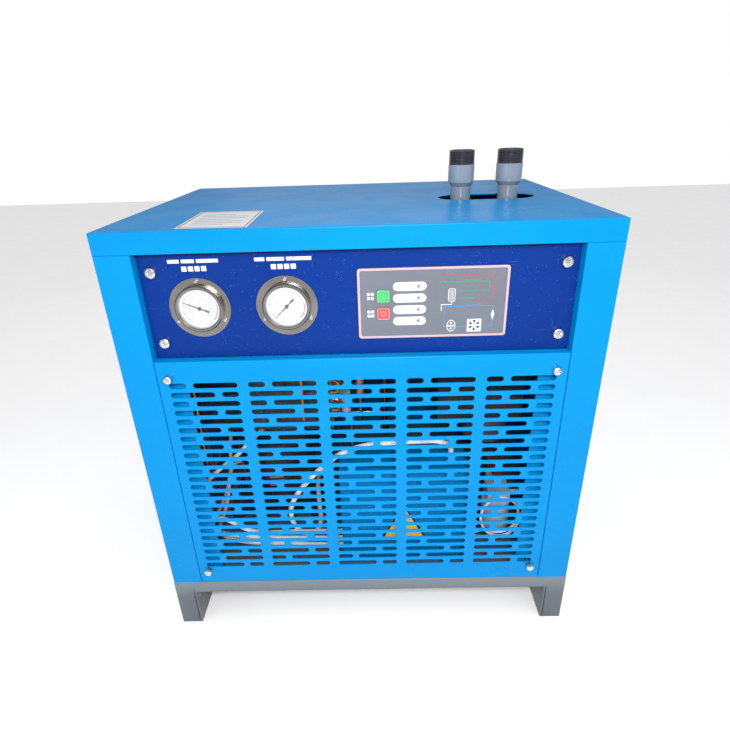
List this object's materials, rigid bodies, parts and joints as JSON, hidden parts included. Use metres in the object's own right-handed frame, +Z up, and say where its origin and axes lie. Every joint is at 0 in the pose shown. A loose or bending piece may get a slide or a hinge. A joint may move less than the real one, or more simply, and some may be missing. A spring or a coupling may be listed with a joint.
{
  "type": "refrigerated air dryer",
  "caption": "Refrigerated compressed-air dryer: a blue sheet-steel cabinet on two skids, slotted front grille, gauges and controller on a dark panel, two air pipes through the lid.",
  "frame": {"origin": "on the floor, midway between the four anchor holes in the skids", "axes": "+X to the right seen from the front, front faces -Y, +Z up"},
  "size_m": [0.7, 0.532, 0.794],
  "materials": {
    "blue_paint": "gloss",
    "navy_paint": "satin",
    "grey_paint": "satin",
    "pipe_paint": "gloss",
    "black_steel": "satin",
    "stainless": "brushed",
    "polished_steel": "polished",
    "dial_white": "satin",
    "needle_black": "satin",
    "clear_glass": "polished",
    "panel_grey": "satin",
    "key_green": "satin",
    "key_red": "satin",
    "lamp_grey": "gloss",
    "black_plastic": "matte",
    "grey_plastic": "satin",
    "black_rubber": "matte",
    "foam": "matte",
    "iron": "rough",
    "fins": "satin",
    "galvanised": "satin",
    "cast_aluminium": "matte",
    "brass_fitting": "satin",
    "copper": "satin",
    "lever_red": "satin",
    "white_sheath": "satin"
  },
  "bodies": {
    "cabinet": {"left_skid": "grey_paint", "right_skid": "grey_paint", "front_beam": "grey_paint", "rear_beam": "grey_paint", "base_pan": "grey_paint", "left_side_panel": "blue_paint", "right_side_panel": "blue_paint", "rear_panel": "blue_paint", "top_cover": "blue_paint", "control_panel": "navy_paint", "front_grille": "blue_paint", "control_panel_screws": "stainless", "grille_screws": "stainless", "rear_screws": "stainless", "gauge_screws": "stainless", "controller_housing": "black_plastic", "controller_face": "panel_grey", "status_lamps": "lamp_grey", "electrical_box": "blue_paint", "electrical_box_cover": "blue_paint", "contactor": "black_plastic", "cable_gland": "black_plastic", "compressor_shell": "black_steel", "compressor_feet": "black_rubber", "compressor_pump": "iron", "condenser_coil": "fins", "fan_shroud": "galvanised", "fan_motor_bracket": "galvanised", "fan_motor": "black_steel", "exchanger_jacket": "foam", "exchanger_core": "fins", "air_inlet_pipe": "pipe_paint", "air_outlet_pipe": "pipe_paint", "threaded_ends": "black_steel", "water_separator": "grey_paint", "drain_valve": "brass_fitting", "auto_drain": "grey_plastic", "drain_outlet": "brass_fitting", "filter_drier": "copper", "discharge_line": "copper", "liquid_line": "copper", "suction_line": "copper", "box_cable": "white_sheath", "floor_cables": "white_sheath", "sensor_cable": "white_sheath", "refrigerant_gauge_case": "black_steel", "refrigerant_gauge_bezel": "polished_steel", "refrigerant_gauge_dial": "dial_white", "refrigerant_gauge_glass": "clear_glass", "air_gauge_case": "black_steel", "air_gauge_bezel": "polished_steel", "air_gauge_dial": "dial_white", "air_gauge_glass": "clear_glass"},
    "refrigerant_needle": {"refrigerant_gauge_needle": "needle_black"},
    "air_needle": {"air_gauge_needle": "needle_black"},
    "start_button": {"start_key": "key_green"},
    "stop_button": {"stop_key": "key_red"},
    "fan": {"fan_shaft": "stainless", "fan_blades": "cast_aluminium"},
    "drain_lever": {"drain_valve_lever": "lever_red"}
  },
  "joints": [
    {"name": "refrigerant_needle_turn", "type": "hinge", "parent": "cabinet", "child": "refrigerant_needle", "pos_m": [-0.2225, -0.2375, 0.6105], "axis": [0, 1, 0], "range_deg": [-67.5, 202.5], "stiffness_Nm_per_rad": 0.005},
    {"name": "air_needle_turn", "type": "hinge", "parent": "cabinet", "child": "air_needle", "pos_m": [-0.1005, -0.2375, 0.6105], "axis": [0, 1, 0], "range_deg": [0, 270], "stiffness_Nm_per_rad": 0.005},
    {"name": "start_key_press", "type": "slide", "parent": "cabinet", "child": "start_button", "axis": [0, 1, 0], "range_m": [0, 0.001], "stiffness_N_per_m": 400},
    {"name": "stop_key_press", "type": "slide", "parent": "cabinet", "child": "stop_button", "axis": [0, 1, 0], "range_m": [0, 0.001], "stiffness_N_per_m": 400},
    {"name": "fan_spin", "type": "hinge", "parent": "cabinet", "child": "fan", "pos_m": [-0.18, 0, 0.481], "axis": [0, 1, 0], "continuous": true},
    {"name": "drain_lever_turn", "type": "hinge", "parent": "cabinet", "child": "drain_lever", "pos_m": [0.24, -0.074, 0.238], "axis": [0, 0, 1], "range_deg": [0, 90]}
  ]
}
